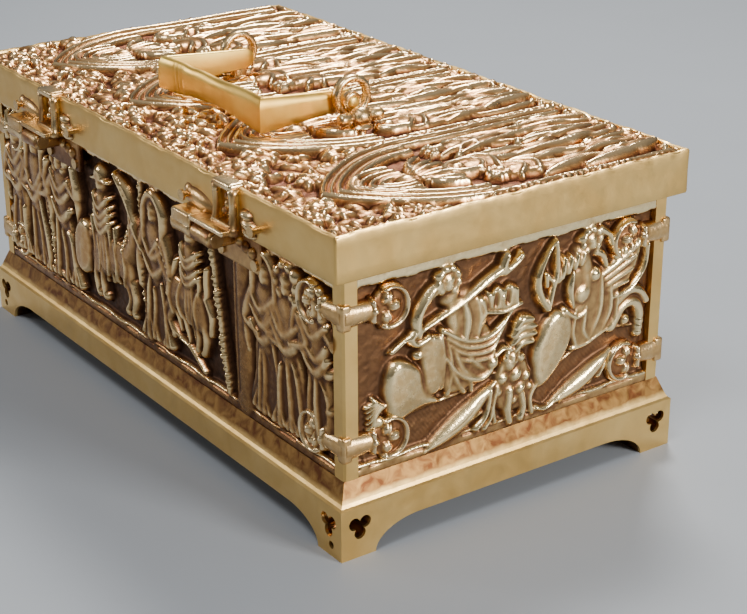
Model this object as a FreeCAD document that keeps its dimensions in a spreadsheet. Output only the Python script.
"""Gothic relief casket in cast brass: plinth, panelled body, hinged lid and folding bail handle.

Millimetres, +Z up, +X along the length, the hinges on the -Y side.  Every piece is drawn
about the middle of the plinth, and its Placement then moves it by origin_shift along Y, so
that the origin is the bottom centre of the whole box that the casket fills.
"""
import FreeCAD
import Part
import math
import os
from FreeCAD import Placement, Rotation, Vector

doc = FreeCAD.newDocument("casket")
sheet = doc.addObject("Spreadsheet::Sheet", "Sizes")

SIZES = {
    # plinth
    "plinth_length": 248.9, "plinth_width": 137.8, "face_top": 17.4, "rail_thick": 14.0,
    "foot_width": 13.0, "arch_rise": 8.8, "arch_curve": 17.0,
    "trefoil_lobe": 2.1, "trefoil_spread": 2.3, "trefoil_heart": 1.3, "trefoil_inset": 7.0,
    "trefoil_height": 10.8, "drop_radius": 1.3, "drop_inset": 5.6, "drop_height": 3.9,
    # body
    "body_length": 241.6, "body_width": 130.1, "body_bottom": 25.3, "body_top": 91.8,
    "panel_thick": 4.0, "panel_ground": 1.6, "top_strip": 4.6, "base_strip": 2.6,
    "post_size": 5.2, "post_edge": 0.7, "floor_thick": 2.5,
    # corner clasps
    "clasp_low": 36.0, "clasp_high": 79.5, "collar_proud": 1.4, "collar_height": 9.0,
    "rosette_reach": 17.0, "rosette_radius": 7.2, "rosette_proud": 3.0,
    # lid
    "lid_length": 249.1, "lid_width": 140.0, "lid_bottom": 92.1, "lid_top": 107.4,
    "band_thick": 8.0, "band_lip": 1.8, "plate_bottom": 103.4,
    # hinges: the axis runs along X below the seam, outside the band
    "hinge_near": 66.0, "hinge_far": -58.0, "hinge_out": 74.0, "hinge_height": 88.6,
    "barrel_radius": 3.2, "pin_radius": 1.5, "pin_head": 2.3, "pin_head_long": 0.8,
    "running_gap": 0.05, "knuckle_gap": 0.3, "knuckle_left": 26.0, "knuckle_split": 14.0,
    "knuckle_right": 2.0, "loop_half": 6.0, "loop_bar": 2.2, "loop_proud": 3.2, "loop_top": 108.6,
    "ledge_bottom": 92.5, "ledge_top": 94.2, "ledge_proud": 7.0, "wing_proud": 2.5, "wing_top": 101.5,
    "wing_left": 30.0, "wing_right": 22.0, "leaf_bottom": 79.0, "leaf_top": 91.0, "leaf_thick": 1.6,
    "leaf_right": 12.0, "rivet_radius": 1.1, "rivet_head": 1.9, "rivet_deep": 4.6,
    # handle: ring lugs and the bail that turns in them
    "pivot_y": -3.5, "pivot_height": 115.0, "ring_height": 116.8, "ring_outer": 7.7, "ring_inner": 5.2,
    "lug_inside": 34.8, "ring_width": 3.6, "boss_radius": 3.6, "trunnion_radius": 2.0,
    "spindle_x": 42.0, "spindle_height": 110.8, "spindle_radius": 2.3, "spindle_long": 18.0,
    "bead_radius": 3.6, "stud_radius": 2.0, "nut_flat": 7.0, "nut_high": 2.5,
    "bail_outside": 34.4, "bail_thick": 3.0, "bail_reach": 35.0, "bail_waist": 2.5, "bail_high": 12.0,
    "bail_pivot_high": 7.2,
    # floor screws, set in from the rails' inner faces
    "screw_radius": 1.5, "screw_head": 2.9, "screw_long": 7.0, "screw_inset": 3.0,
    # longer than any cut through the casket
    "right_through": 600.0,
    # half of the hinges' overhang past the lid
    "origin_shift": 3.6,
}
for row, (alias, size) in enumerate(SIZES.items(), start=1):
    sheet.set(f"A{row}", alias)
    sheet.set(f"B{row}", str(size))
    sheet.setAlias(f"B{row}", alias)
doc.recompute()

subparts = []


def size(expression):
    """The value of an expression over the sheet's cells, in millimetres."""
    return float(sheet.evalExpression(expression))


def cell(expression):
    """The same expression, as another object has to write it."""
    for alias in sorted(SIZES, key=len, reverse=True):
        expression = expression.replace(alias, f"Sizes.#{alias}")
    return expression.replace("#", "")


def placed(piece, label, turn=0.0, corner=None):
    """Give a sub-part its name and its place: turned about Z, then shifted to the origin."""
    piece.Label = label
    start = corner or Vector(0, 0, 0)
    shift = Vector(0, size("origin_shift"), 0)
    piece.Placement = Placement(start + shift, Rotation(Vector(0, 0, 1), turn))
    subparts.append(piece)
    return piece


# ---------------------------------------------------------------- sketches and features
def sketch_on(body, role, lines=(), circles=(), curves=(), lift=0.0):
    """A sketch on one of the body's own origin planes, lifted along that plane's normal."""
    plane = next(f for f in body.Origin.OriginFeatures if f.Role == role)
    sketch = body.newObject("Sketcher::SketchObject", "Sketch")
    sketch.AttachmentSupport = [(plane, "")]
    sketch.MapMode = "FlatFace"
    sketch.AttachmentOffset = Placement(Vector(0, 0, lift), Rotation())
    for outline in lines:
        for start, end in zip(outline, outline[1:] + outline[:1]):
            sketch.addGeometry(Part.LineSegment(Vector(*start, 0), Vector(*end, 0)), False)
    for x, y, radius in circles:
        sketch.addGeometry(Part.Circle(Vector(x, y, 0), Vector(0, 0, 1), radius), False)
    for curve in curves:
        sketch.addGeometry(curve, False)
    return sketch


def pad(body, sketch, length, midplane=False, reverse=False):
    """A Pad whose length follows the sheet."""
    feature = body.newObject("PartDesign::Pad", "Pad")
    feature.Profile = sketch
    feature.setExpression("Length", cell(length))
    feature.Midplane = midplane
    feature.Reversed = reverse
    doc.recompute()
    return feature


def pocket(body, sketch, length, midplane=False, reverse=False):
    """A Pocket whose depth follows the sheet; it has to take something away."""
    before = body.Shape.Volume
    feature = body.newObject("PartDesign::Pocket", "Pocket")
    feature.Profile = sketch
    feature.setExpression("Length", cell(length))
    feature.Midplane = midplane
    feature.Reversed = reverse
    doc.recompute()
    if body.Shape.Volume >= before - 1e-6:
        raise RuntimeError(f"a pocket of {body.Name} cuts nothing")
    return feature


def bar(name, section, length):
    """A body padded along X from a closed section in the YZ plane."""
    body = doc.addObject("PartDesign::Body", name)
    pad(body, sketch_on(body, "YZ_Plane", lines=[section]), length, midplane=True)
    return body


def mitre(body, half_length, out, deep):
    """Cut both ends of a bar at 45 degrees, from its outer face inwards."""
    ends = []
    for side in (-1, 1):
        ends.append([(side * half_length, -out), (side * (half_length + 1), -out),
                     (side * (half_length + 1), deep - out), (side * (half_length - deep), deep - out)])
    sketch = sketch_on(body, "XY_Plane", lines=ends)
    pocket(body, sketch, "right_through", midplane=True)


# ---------------------------------------------------------------- plinth
def arch_outline(half_length):
    """The opening under a rail: flat, with a quarter ellipse down to the foot at each end."""
    foot, rise, curve = size("foot_width"), size("arch_rise"), size("arch_curve")
    low = -1.0
    inner = half_length - foot
    lines = [[(-inner, low), (inner, low)], [(inner, low), (inner, 0)], [(-inner, 0), (-inner, low)],
             [(-(inner - curve), rise), (inner - curve, rise)]]
    segments = [Part.LineSegment(Vector(*a, 0), Vector(*b, 0)) for a, b in lines]
    for side, first in ((1, 0.0), (-1, math.pi / 2)):
        ellipse = Part.Ellipse(Vector(side * (inner - curve), 0, 0), curve, rise)
        segments.append(Part.ArcOfEllipse(ellipse, first, first + math.pi / 2))
    return segments


def trefoil(x):
    """Three round lobes that run together at a heart, one of them pointing down."""
    lobe, spread, height = size("trefoil_lobe"), size("trefoil_spread"), size("trefoil_height")
    turns = [math.radians(30 + 120 * k) for k in range(3)]
    lobes = [(x + spread * math.cos(a), height + spread * math.sin(a), lobe) for a in turns]
    return lobes + [(x, height, size("trefoil_heart"))]


def plinth_rail(label, long_size, out_size, turn):
    """A mitred rail with a sloping shoulder, a foot at each end and a trefoil through each foot."""
    half, out = size(long_size) / 2, size(out_size) / 2
    thick, face, top = size("rail_thick"), size("face_top"), size("body_bottom")
    shoulder = (size("plinth_width") - size("body_width")) / 2
    section = [(-out, 0), (-out, face), (-out + 0.8, face + 0.6), (-out + 1.4, face + 1.6),
               (-out + shoulder, top), (-out + thick, top), (-out + thick, 0)]
    body = bar(label, section, long_size)
    mitre(body, half, out, thick)
    pocket(body, sketch_on(body, "XZ_Plane", curves=arch_outline(half)), "right_through", midplane=True)
    for side in (-1, 1):
        holes = trefoil(side * (half - size("trefoil_inset")))
        if turn in (0, 180):
            holes.append((side * (half - size("drop_inset")), size("drop_height"), size("drop_radius")))
        for circle in holes:
            pocket(body, sketch_on(body, "XZ_Plane", circles=[circle]), "right_through", midplane=True)
    holes = [(x, -out + thick - size("screw_inset"), size("screw_radius")) for x in (-half * 0.6, 0, half * 0.6)]
    sketch = sketch_on(body, "XY_Plane", circles=holes, lift=top)
    pocket(body, sketch, "screw_long - floor_thick")
    placed(body, label, turn)
    return holes


# ---------------------------------------------------------------- body
def panel(label, long_size, out_size, turn, rivets=()):
    """A relief panel: plain strips along its top and base, and a ground between them."""
    out, thick, ground = size(out_size) / 2, size("panel_thick"), size("panel_ground")
    low, high = size("body_bottom"), size("body_top")
    base, strip = low + size("base_strip"), high - size("top_strip")
    section = [(-out, low), (-out, base), (-out + ground, base + 0.5), (-out + ground, strip - 0.5),
               (-out, strip), (-out, high), (-out + thick, high), (-out + thick, low)]
    body = bar(label, section, f"{long_size} - post_size * 2")
    if rivets:
        drilled = [(x, height, size("rivet_radius")) for x, height in rivets]
        sketch = sketch_on(body, "XZ_Plane", circles=drilled, lift=out)
        pocket(body, sketch, "rivet_deep - leaf_thick")
    return placed(body, label, turn)


def corners():
    """The four corners of the body: a name, a place and a turn that faces each corner outwards."""
    half_x, half_y = size("body_length") / 2, size("body_width") / 2
    return [("front_left", Vector(-half_x, -half_y, 0), 0), ("front_right", Vector(half_x, -half_y, 0), 90),
            ("back_right", Vector(half_x, half_y, 0), 180), ("back_left", Vector(-half_x, half_y, 0), 270)]


def post(label, corner, turn):
    """A square corner post with its outer edge taken off."""
    side, edge = size("post_size"), size("post_edge")
    outline = [(edge, 0), (side, 0), (side, side), (0, side), (0, edge)]
    body = doc.addObject("PartDesign::Body", label)
    sketch = sketch_on(body, "XY_Plane", lines=[outline], lift=size("body_bottom"))
    pad(body, sketch, "body_top - body_bottom")
    return placed(body, label, turn, corner)


def clasp(label, corner, turn, height_name):
    """A collar round the corner post, ending in a round rosette on each face."""
    proud, high, reach = size("collar_proud"), size("collar_height"), size("rosette_reach")
    height = size(height_name)
    body = doc.addObject("PartDesign::Body", label)
    collar = [(-proud, -proud), (reach, -proud), (reach, 0), (0, 0), (0, reach), (-proud, reach)]
    pad(body, sketch_on(body, "XY_Plane", lines=[collar], lift=height - high / 2), "collar_height")
    disc = [(reach, height, size("rosette_radius"))]
    pad(body, sketch_on(body, "XZ_Plane", circles=disc), "rosette_proud")
    pad(body, sketch_on(body, "YZ_Plane", circles=disc), "rosette_proud", reverse=True)
    return placed(body, label, turn, corner)


def floor_plate(holes):
    """The floor: a plate between the panels, notched at the posts and drilled for its screws."""
    half_x = size("body_length / 2 - panel_thick")
    half_y = size("body_width / 2 - panel_thick")
    notch = size("post_size - panel_thick")
    outline = []
    for sx, sy in ((1, 1), (-1, 1), (-1, -1), (1, -1)):
        inner = (sx * (half_x - notch), sy * (half_y - notch))
        steps = [(sx * half_x, inner[1]), inner, (inner[0], sy * half_y)]
        outline += steps if sx * sy > 0 else steps[::-1]
    body = doc.addObject("PartDesign::Body", "floor_plate")
    pad(body, sketch_on(body, "XY_Plane", lines=[outline], lift=size("body_bottom")), "floor_thick")
    pocket(body, sketch_on(body, "XY_Plane", circles=holes), "right_through", midplane=True)
    return placed(body, "floor_plate")


# ---------------------------------------------------------------- lid
def lid_band(label, long_size, out_size, turn, rivets=()):
    """A mitred lid band, rebated along its top for the relief plate."""
    half, out = size(long_size) / 2, size(out_size) / 2
    thick, lip = size("band_thick"), size("band_lip")
    low, high, seat = size("lid_bottom"), size("lid_top"), size("plate_bottom")
    section = [(-out, low), (-out, high), (-out + lip, high), (-out + lip, seat),
               (-out + thick, seat), (-out + thick, low)]
    body = bar(label, section, long_size)
    mitre(body, half, out, thick)
    if rivets:
        drilled = [(x, height, size("rivet_radius")) for x, height in rivets]
        pocket(body, sketch_on(body, "XZ_Plane", circles=drilled, lift=out), "rivet_deep - wing_proud")
    return placed(body, label, turn)


def lid_plate():
    """The relief plate that lies in the bands' rebate, with a hole for each lug's stud."""
    half_x = size("lid_length / 2 - band_lip")
    half_y = size("lid_width / 2 - band_lip")
    outline = [(-half_x, -half_y), (half_x, -half_y), (half_x, half_y), (-half_x, half_y)]
    body = doc.addObject("PartDesign::Body", "lid_plate")
    pad(body, sketch_on(body, "XY_Plane", lines=[outline], lift=size("plate_bottom")), "lid_top - plate_bottom")
    studs = [(side * size("spindle_x"), size("pivot_y"), size("stud_radius")) for side in (-1, 1)]
    pocket(body, sketch_on(body, "XY_Plane", circles=studs), "right_through", midplane=True)
    return placed(body, "lid_plate")


# ---------------------------------------------------------------- hinges
def box(x0, x1, y0, y1, z0, z1):
    """A box between two corners."""
    return Part.makeBox(x1 - x0, y1 - y0, z1 - z0, Vector(x0, y0, z0))


def rod(x0, x1, radius, y, z):
    """A round rod along X."""
    return Part.makeCylinder(radius, x1 - x0, Vector(x0, y, z), Vector(1, 0, 0))


def solid(label, shape):
    """A sub-part whose shape comes from Part's own functions."""
    piece = doc.addObject("Part::Feature", label)
    piece.Shape = shape.removeSplitter()
    return placed(piece, label)


def wing(x_root, x_tip, out):
    """A leaf-shaped wing on the band's face, from the loop out to a rounded tip."""
    low, top, proud = size("ledge_bottom"), size("wing_top"), size("wing_proud")
    middle = (low + top) / 2
    tip = (top - low) / 2
    toward = 1 if x_tip > x_root else -1
    leaf = Part.makeCylinder(tip, proud, Vector(x_tip - toward * tip, -out, middle), Vector(0, -1, 0))
    x_low, x_high = sorted((x_root, x_tip - toward * tip))
    return leaf.fuse(box(x_low, x_high, -out - proud, -out, low, low + tip * 1.2))


def lid_leaf(label, centre):
    """The lid's half of a hinge: wings, an upright open loop, a ledge and one knuckle."""
    out, axis_y, axis_z = size("lid_width") / 2, -size("hinge_out"), size("hinge_height")
    half, rim, proud = size("loop_half"), size("loop_bar"), size("loop_proud")
    ledge, ledge_top = size("ledge_bottom"), size("ledge_top")
    left, split = centre - size("knuckle_left"), centre - size("knuckle_split")
    shape = box(centre - half, centre + half, -out - proud, -out, ledge, size("loop_top"))
    shape = shape.fuse(box(centre - half + 2, centre + half - 2, -out - proud, -out + 3,
                           size("lid_top"), size("loop_top")))
    shape = shape.fuse(box(split, centre + half, -out - size("ledge_proud"), -out, ledge, ledge_top))
    shape = shape.fuse(wing(centre - half, centre - size("wing_left"), out))
    shape = shape.fuse(wing(centre + half, centre + size("wing_right"), out))
    shape = shape.fuse(rod(left, split - size("knuckle_gap") / 2, size("barrel_radius"), axis_y, axis_z))
    shape = shape.fuse(box(left, split - size("knuckle_gap") / 2, axis_y - size("barrel_radius"), -out,
                           axis_z, ledge_top))
    window = box(centre - half + rim, centre + half - rim, -out - proud - 3, -out,
                 ledge_top + 1.8, size("lid_top") - 1.8)
    shape = shape.cut(window)
    bore = size("pin_radius + running_gap")
    shape = shape.cut(rod(left - 1, split + 0.1, bore, axis_y, axis_z))
    for x, height in wing_rivets(centre):
        shape = shape.cut(Part.makeCylinder(size("rivet_radius"), 6, Vector(x, -out - 5, height), Vector(0, 1, 0)))
    return solid(label, shape)


def wing_rivets(centre):
    """Where the lid leaf's two rivets go, as x and height."""
    height = (size("ledge_bottom") + size("wing_top")) / 2
    return [(centre - size("wing_left") + 5, height), (centre + size("wing_right") - 5, height)]


def leaf_rivets(centre):
    """Where the body leaf's two rivets go, as x and height."""
    return [(centre - size("knuckle_split") + 3, size("leaf_bottom") + 3),
            (centre + size("leaf_right") - 3, size("leaf_bottom") + 3)]


def body_leaf(label, centre):
    """The body's half of a hinge: a leaf on the panel and one knuckle on an arm."""
    wall, axis_y, axis_z = -size("body_width") / 2, -size("hinge_out"), size("hinge_height")
    split, right = centre - size("knuckle_split") + size("knuckle_gap") / 2, centre - size("knuckle_right")
    barrel = size("barrel_radius")
    shape = rod(split, right, barrel, axis_y, axis_z)
    shape = shape.fuse(box(split, right, axis_y, wall, axis_z - barrel, size("leaf_top")))
    shape = shape.fuse(box(split, centre + size("leaf_right"), wall - size("leaf_thick"), wall,
                           size("leaf_bottom"), size("leaf_top")))
    shape = shape.cut(rod(split - 1, right + 1, size("pin_radius"), axis_y, axis_z))
    for x, height in leaf_rivets(centre):
        shape = shape.cut(Part.makeCylinder(size("rivet_radius"), 4, Vector(x, wall - 3, height), Vector(0, 1, 0)))
    return solid(label, shape)


def hinge_pin(label, centre):
    """A pin through both knuckles, with a head at each end."""
    axis_y, axis_z, head, long = -size("hinge_out"), size("hinge_height"), size("pin_head"), size("pin_head_long")
    left, right = centre - size("knuckle_left") - size("knuckle_gap"), centre - size("knuckle_right")
    shape = rod(left, right, size("pin_radius"), axis_y, axis_z)
    shape = shape.fuse(rod(left - long, left, head, axis_y, axis_z))
    shape = shape.fuse(rod(right, right + long, head, axis_y, axis_z))
    return solid(label, shape)


def rivets(label, places, face, deep):
    """Round-headed rivets driven along +Y into a face; places hold x and height."""
    pieces = []
    for x, height in places:
        shank = Part.makeCylinder(size("rivet_radius"), deep, Vector(x, face, height), Vector(0, 1, 0))
        head = Part.makeCylinder(size("rivet_head"), 0.7, Vector(x, face - 0.7, height), Vector(0, 1, 0))
        pieces.append(shank.fuse(head).removeSplitter())
    piece = doc.addObject("Part::Feature", label)
    piece.Shape = Part.makeCompound(pieces)
    return placed(piece, label)


# ---------------------------------------------------------------- handle
def lug(label, side):
    """A ring eye for the bail's trunnion on a turned base, with a stud down through the plate."""
    pivot_y, pivot_z, top = size("pivot_y"), size("pivot_height"), size("lid_top")
    inside, width, base_x = size("lug_inside"), size("ring_width"), size("spindle_x")
    ring = rod(inside, inside + width, size("ring_outer"), pivot_y, size("ring_height"))
    ring = ring.cut(rod(inside - 1, inside + width + 1, size("ring_inner"), pivot_y, size("ring_height")))
    boss = rod(inside, inside + width, size("boss_radius"), pivot_y, pivot_z)
    stem = box(inside, inside + width, pivot_y - 2.4, pivot_y + 2.4, top, pivot_z - 1)
    half, height = size("spindle_long") / 2, size("spindle_height")
    spindle = Part.makeCylinder(size("spindle_radius"), half * 2, Vector(base_x, pivot_y - half, height),
                                Vector(0, 1, 0))
    bead = Part.makeSphere(size("bead_radius"), Vector(base_x, pivot_y, height))
    pad_block = box(inside, base_x + 2.5, pivot_y - 3, pivot_y + 3, top, height)
    bead = bead.common(box(base_x - 5, base_x + 5, pivot_y - 5, pivot_y + 5, top, height + 5))
    shape = ring.fuse([boss, stem, spindle, bead, pad_block])
    shape = shape.cut(rod(inside - 1, inside + width + 1, size("trunnion_radius + running_gap"), pivot_y, pivot_z))
    low = size("plate_bottom - nut_high - 1")
    shape = shape.fuse(Part.makeCylinder(size("stud_radius"), top - low + 0.5, Vector(base_x, pivot_y, low)))
    if side < 0:
        shape = shape.mirror(Vector(0, 0, 0), Vector(1, 0, 0))
    return solid(label, shape)


def lug_nuts():
    """A hexagon nut on each lug's stud, under the plate."""
    pieces = []
    radius = size("nut_flat") / math.sqrt(3)
    low = size("plate_bottom - nut_high")
    for side in (-1, 1):
        centre = Vector(side * size("spindle_x"), size("pivot_y"), low)
        turns = [math.radians(60 * k) for k in range(7)]
        ring = [centre + Vector(radius * math.cos(a), radius * math.sin(a), 0) for a in turns]
        nut = Part.Face(Part.makePolygon(ring)).extrude(Vector(0, 0, size("nut_high")))
        pieces.append(nut.cut(Part.makeCylinder(size("stud_radius"), 9, centre - Vector(0, 0, 2))))
    piece = doc.addObject("Part::Feature", "lug_nuts")
    piece.Shape = Part.makeCompound(pieces)
    return placed(piece, "lug_nuts")


def bail():
    """The folding handle: a waisted grip, two arms that narrow to the pivot, and two trunnions."""
    out, thick, reach, waist = size("bail_outside"), size("bail_thick"), size("bail_reach"), size("bail_waist")
    high, pivot_high, axis_z = size("bail_high"), size("bail_pivot_high"), size("pivot_height")
    pivot = size("pivot_y")
    front = pivot - reach
    back = pivot + pivot_high / 2
    inner = out - thick
    outline = [(-out, back), (-out, front), (-out * 0.6, front + waist * 0.4), (0, front + waist),
               (out * 0.6, front + waist * 0.4), (out, front), (out, back), (inner, back),
               (inner, front + thick + 1), (out * 0.55, front + thick + waist * 0.5),
               (0, front + thick + waist), (-out * 0.55, front + thick + waist * 0.5),
               (-inner, front + thick + 1), (-inner, back)]
    body = doc.addObject("PartDesign::Body", "bail_handle")
    pad(body, sketch_on(body, "XY_Plane", lines=[outline], lift=axis_z), "bail_high", midplane=True)
    tapers = []
    for side in (-1, 1):
        tapers.append([(front + thick + 1, axis_z + side * high / 2), (back + 1, axis_z + side * pivot_high / 2),
                       (back + 1, axis_z + side * high), (front + thick + 1, axis_z + side * high)])
    pocket(body, sketch_on(body, "YZ_Plane", lines=tapers), "right_through", midplane=True)
    waists = []
    for side in (-1, 1):
        waists.append([(-out * 0.6, axis_z + side * high / 2), (0, axis_z + side * (high / 2 - 1)),
                       (out * 0.6, axis_z + side * high / 2), (out * 0.6, axis_z + side * high),
                       (-out * 0.6, axis_z + side * high)])
    pocket(body, sketch_on(body, "XZ_Plane", lines=waists), "right_through", midplane=True)
    end = size("lug_inside + ring_width + 0.5 - bail_outside")
    for side in (-1, 1):
        hub = [(pivot, axis_z, size("trunnion_radius"))]
        feature = pad(body, sketch_on(body, "YZ_Plane", circles=hub, lift=side * out), "bail_thick", reverse=side < 0)
        feature.setExpression("Length", cell("lug_inside + ring_width + 0.5 - bail_outside"))
        if abs(feature.Length.Value - end) > 2:
            raise RuntimeError("a trunnion has the wrong length")
    doc.recompute()
    return placed(body, "bail_handle")


def floor_screws(holes):
    """Flat-headed screws that hold the floor to the rails."""
    pieces = []
    top = size("body_bottom + floor_thick")
    for x, y, radius in holes:
        shank = Part.makeCylinder(radius, size("screw_long"), Vector(x, y, top - size("screw_long")))
        head = Part.makeCylinder(size("screw_head"), 1.0, Vector(x, y, top))
        pieces.append(shank.fuse(head).removeSplitter())
    piece = doc.addObject("Part::Feature", "floor_screws")
    piece.Shape = Part.makeCompound(pieces)
    return placed(piece, "floor_screws")


# ---------------------------------------------------------------- the casket
hinge_centres = {"near": size("hinge_near"), "far": size("hinge_far")}
body_rivet_places = [place for c in hinge_centres.values() for place in leaf_rivets(c)]
lid_rivet_places = [place for c in hinge_centres.values() for place in wing_rivets(c)]

screw_holes = []
for name, long_size, out_size, turn in (("front", "plinth_length", "plinth_width", 0),
                                        ("right", "plinth_width", "plinth_length", 90),
                                        ("back", "plinth_length", "plinth_width", 180),
                                        ("left", "plinth_width", "plinth_length", 270)):
    holes = plinth_rail(f"plinth_rail_{name}", long_size, out_size, turn)
    angle = math.radians(turn)
    for x, y, radius in holes:
        screw_holes.append((x * math.cos(angle) - y * math.sin(angle),
                            x * math.sin(angle) + y * math.cos(angle), radius))

panel("panel_front", "body_length", "body_width", 0, body_rivet_places)
panel("panel_right", "body_width", "body_length", 90)
panel("panel_back", "body_length", "body_width", 180)
panel("panel_left", "body_width", "body_length", 270)
for name, corner, turn in corners():
    post(f"corner_post_{name}", corner, turn)
    clasp(f"clasp_low_{name}", corner, turn, "clasp_low")
    clasp(f"clasp_high_{name}", corner, turn, "clasp_high")
floor_plate(screw_holes)
floor_screws(screw_holes)

lid_band("lid_band_front", "lid_length", "lid_width", 0, lid_rivet_places)
lid_band("lid_band_right", "lid_width", "lid_length", 90)
lid_band("lid_band_back", "lid_length", "lid_width", 180)
lid_band("lid_band_left", "lid_width", "lid_length", 270)
lid_plate()

for name, centre in hinge_centres.items():
    lid_leaf(f"hinge_lid_leaf_{name}", centre)
    body_leaf(f"hinge_body_leaf_{name}", centre)
    hinge_pin(f"hinge_pin_{name}", centre)
wall_face = -size("body_width / 2 + leaf_thick")
rivets("hinge_rivets_body", body_rivet_places, wall_face, size("rivet_deep"))
wing_face = -size("lid_width / 2 + wing_proud")
rivets("hinge_rivets_lid", lid_rivet_places, wing_face, size("rivet_deep"))

lug("handle_lug_left", -1)
lug("handle_lug_right", 1)
lug_nuts()
bail()

# ---------------------------------------------------------------- check and write
doc.recompute()
for item in doc.Objects:
    if "Invalid" in item.State or "Error" in item.State:
        raise RuntimeError(f"{item.Label} failed: {item.State}")
os.makedirs("parts", exist_ok=True)
for old in os.listdir("parts"):
    os.remove(os.path.join("parts", old))
for piece in subparts:
    if piece.Shape.isNull() or not piece.Shape.isValid():
        raise RuntimeError(f"{piece.Label} has no valid shape")
    piece.Shape.exportStep(f"parts/{piece.Label}.step")
print(f"{len(subparts)} sub-parts written")
